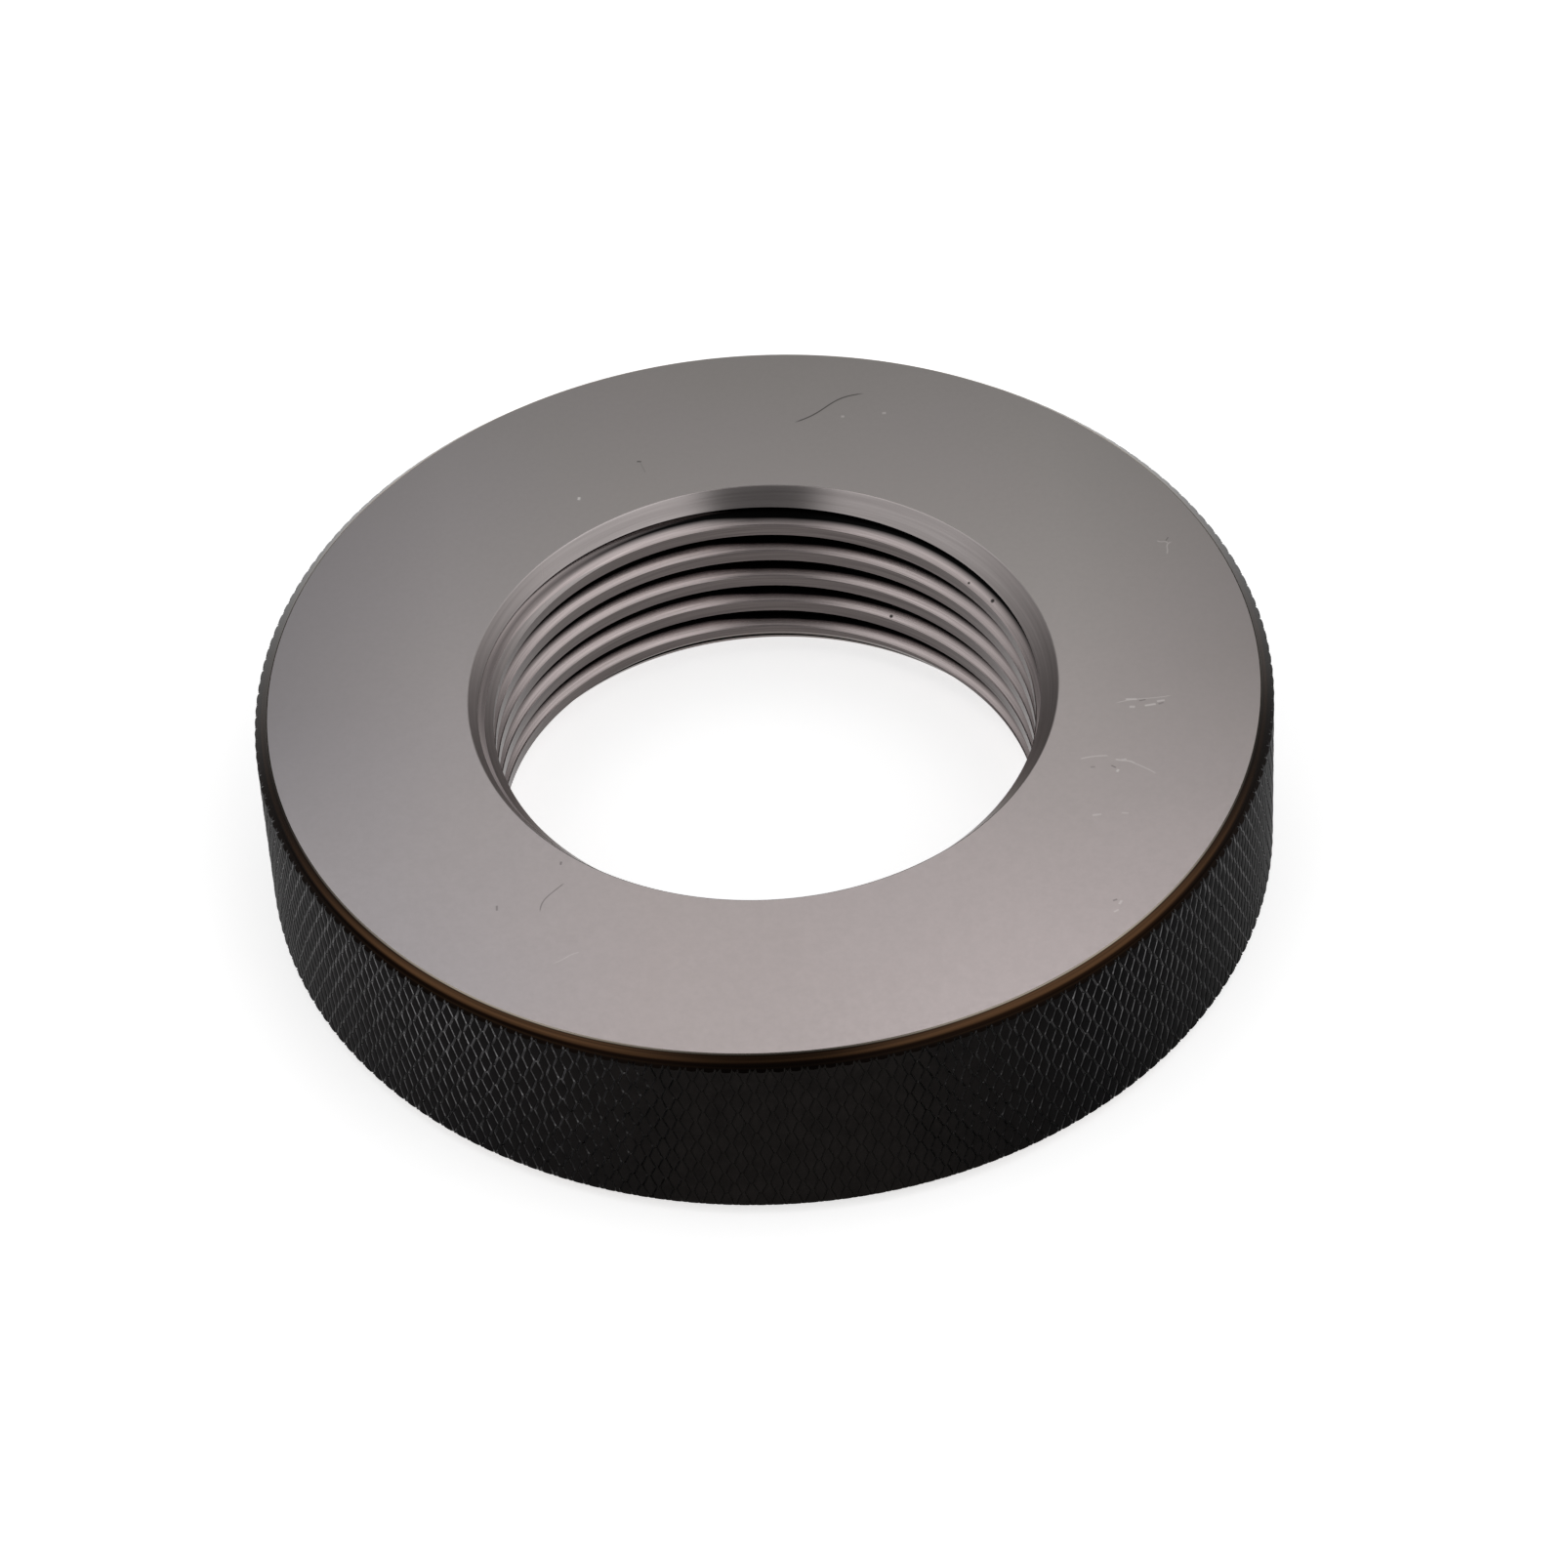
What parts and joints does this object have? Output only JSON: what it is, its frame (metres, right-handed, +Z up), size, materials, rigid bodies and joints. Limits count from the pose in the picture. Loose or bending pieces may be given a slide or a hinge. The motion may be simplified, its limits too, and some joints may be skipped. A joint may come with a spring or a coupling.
{
  "type": "thread ring gauge",
  "caption": "Knurled steel ring with a ground face on each side and a right-hand internal thread, for checking the size of an external screw thread.",
  "frame": {"origin": "on the bore's axis, in the plane of the lower face", "axes": "+Z up along the bore's axis, from the lower face to the upper face; -Y is the side nearest in the picture"},
  "size_m": [0.085, 0.085, 0.018],
  "materials": {
    "hardened_steel": "ground faces and thread, blackened knurled rim"
  },
  "bodies": {
    "root": {"ring_gauge": "hardened_steel"}
  },
  "joints": []
}
